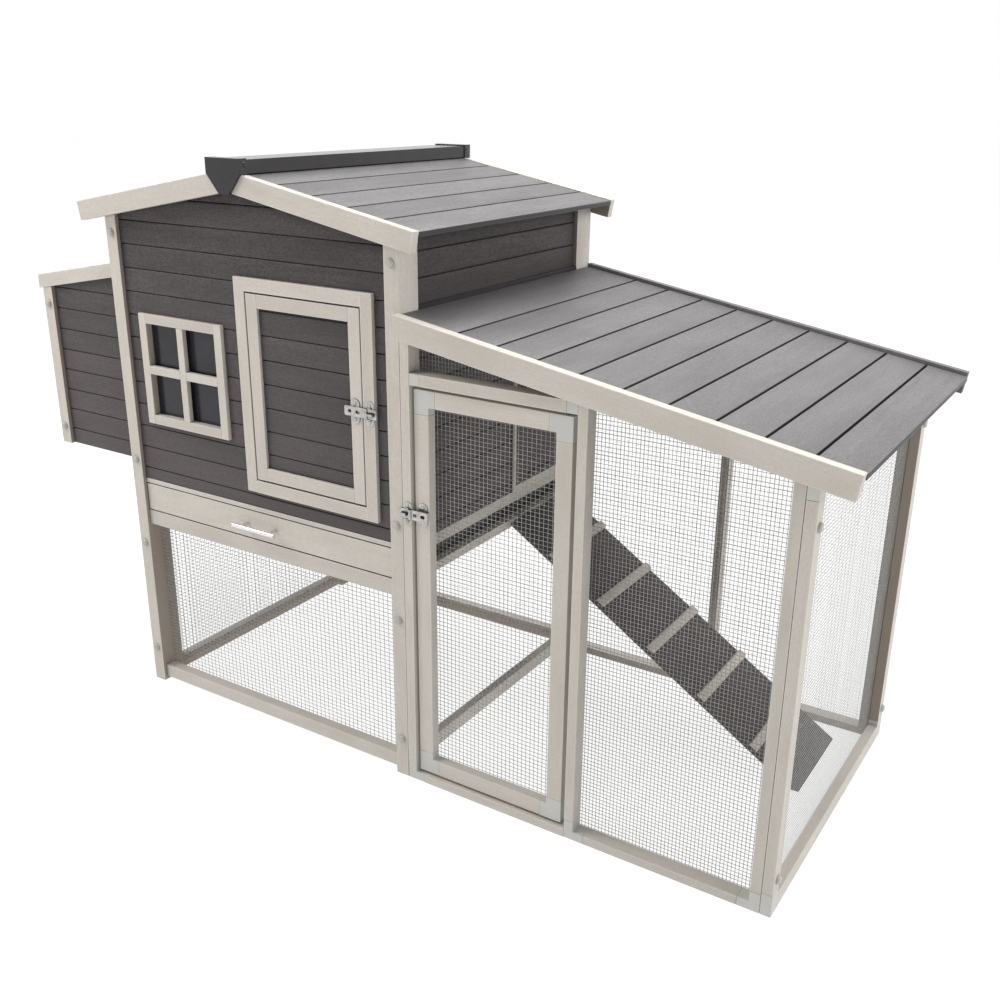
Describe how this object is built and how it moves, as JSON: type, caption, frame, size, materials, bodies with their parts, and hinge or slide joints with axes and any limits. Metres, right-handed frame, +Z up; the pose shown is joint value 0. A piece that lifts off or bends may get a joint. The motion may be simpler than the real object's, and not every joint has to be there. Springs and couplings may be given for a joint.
{
  "type": "chicken coop",
  "caption": "Wooden-look backyard chicken coop with a gabled house on posts, a wire run with a lean-to roof, a side nest box, opening doors and a pull-out tray",
  "frame": {"origin": "centre of the coop's bounding box at ground level, under the feet of the posts", "axes": "+X along the front from the nest box to the far end of the run, +Y from the front to the back, +Z up"},
  "size_m": [2.4196, 0.941, 1.499],
  "materials": {
    "trim": "warm off-white wood composite with an embossed grain",
    "planks": "dark grey-brown wood composite boards with an embossed grain",
    "roof": "mid grey wood composite boards, satin",
    "cap": "charcoal moulded plastic",
    "connector": "light moulded plastic",
    "pane": "dark tinted sheet",
    "mesh": "galvanised welded wire",
    "zinc": "bright zinc plate",
    "handle": "satin aluminium",
    "tray": "dark moulded plastic"
  },
  "bodies": {
    "coop": {"house_posts": "trim", "front_wall_planks": "planks", "back_wall_planks": "planks", "left_wall_planks": "planks", "right_wall_planks": "planks", "floor_rails": "trim", "lower_rails": "trim", "lower_mesh_front": "mesh", "lower_mesh_back": "mesh", "lower_mesh_left": "mesh", "frame_corner_blocks": "connector", "window_frame": "trim", "window_pane": "pane", "door_surround": "trim", "latch_keepers": "zinc", "tray_runners": "planks", "roof_planks_left": "roof", "roof_planks_right": "roof", "gable_fascias": "trim", "ridge_cap": "cap", "roof_beams": "trim", "pen_front_frame": "trim", "pen_end_frame": "trim", "pen_back_frame": "trim", "pen_mesh_front": "mesh", "pen_mesh_end": "mesh", "pen_mesh_back": "mesh", "pen_roof_planks": "roof", "pen_front_fascia": "trim", "pen_back_trim": "cap", "pen_rafters": "planks", "wall_flashing": "cap", "nest_posts": "trim", "nest_planks": "planks", "nest_interior": "planks", "hinge_fixed_leaves": "zinc", "perches": "planks", "pop_door_guides": "trim", "bolt_caps": "connector"},
    "house_door": {"house_door_frame": "trim", "house_door_planks": "planks", "house_door_pins": "zinc", "house_door_latch": "zinc"},
    "house_door_knob": {"house_door_knob": "zinc"},
    "pen_door": {"pen_door_frame": "trim", "pen_door_corners": "connector", "pen_door_mesh": "mesh", "pen_door_pins": "zinc", "pen_door_latch": "zinc"},
    "pen_door_knob": {"pen_door_knob": "zinc"},
    "tray": {"tray_front": "trim", "tray_pan": "tray", "tray_handle": "handle"},
    "nest_lid": {"nest_lid_frame": "trim", "nest_lid_planks": "roof", "nest_lid_hinge": "zinc"},
    "ramp": {"ramp_board": "planks", "ramp_slats": "trim", "ramp_hinge": "zinc"},
    "pop_door": {"pop_door": "planks"}
  },
  "joints": [
    {"name": "house_door_hinge", "type": "hinge", "parent": "coop", "child": "house_door", "pos_m": [-0.2768, -0.4295, 0.95], "axis": [0, 0, -1], "range_deg": [0, 110]},
    {"name": "house_knob_turn", "type": "hinge", "parent": "coop", "child": "house_door_knob", "pos_m": [0.0862, -0.4415, 0.948], "axis": [0, 1, 0], "range_deg": [0, 90]},
    {"name": "pen_door_hinge", "type": "hinge", "parent": "coop", "child": "pen_door", "pos_m": [0.5902, -0.4195, 0.5], "axis": [0, 0, 1], "range_deg": [0, 110]},
    {"name": "pen_knob_turn", "type": "hinge", "parent": "coop", "child": "pen_door_knob", "pos_m": [0.1762, -0.4415, 0.725], "axis": [0, 1, 0], "range_deg": [0, 90]},
    {"name": "tray_slide", "type": "slide", "parent": "coop", "child": "tray", "axis": [0, -1, 0], "range_m": [0, 0.7]},
    {"name": "nest_lid_hinge", "type": "hinge", "parent": "coop", "child": "nest_lid", "pos_m": [-0.7648, 0, 1.2236], "axis": [0, 1, 0], "range_deg": [0, 50]},
    {"name": "ramp_hinge", "type": "hinge", "parent": "coop", "child": "ramp", "pos_m": [0.1632, 0.1845, 0.545], "axis": [0, -1, 0], "range_deg": [0, 5]},
    {"name": "pop_door_slide", "type": "slide", "parent": "coop", "child": "pop_door", "axis": [0, 0, 1], "range_m": [0, 0.23]}
  ]
}
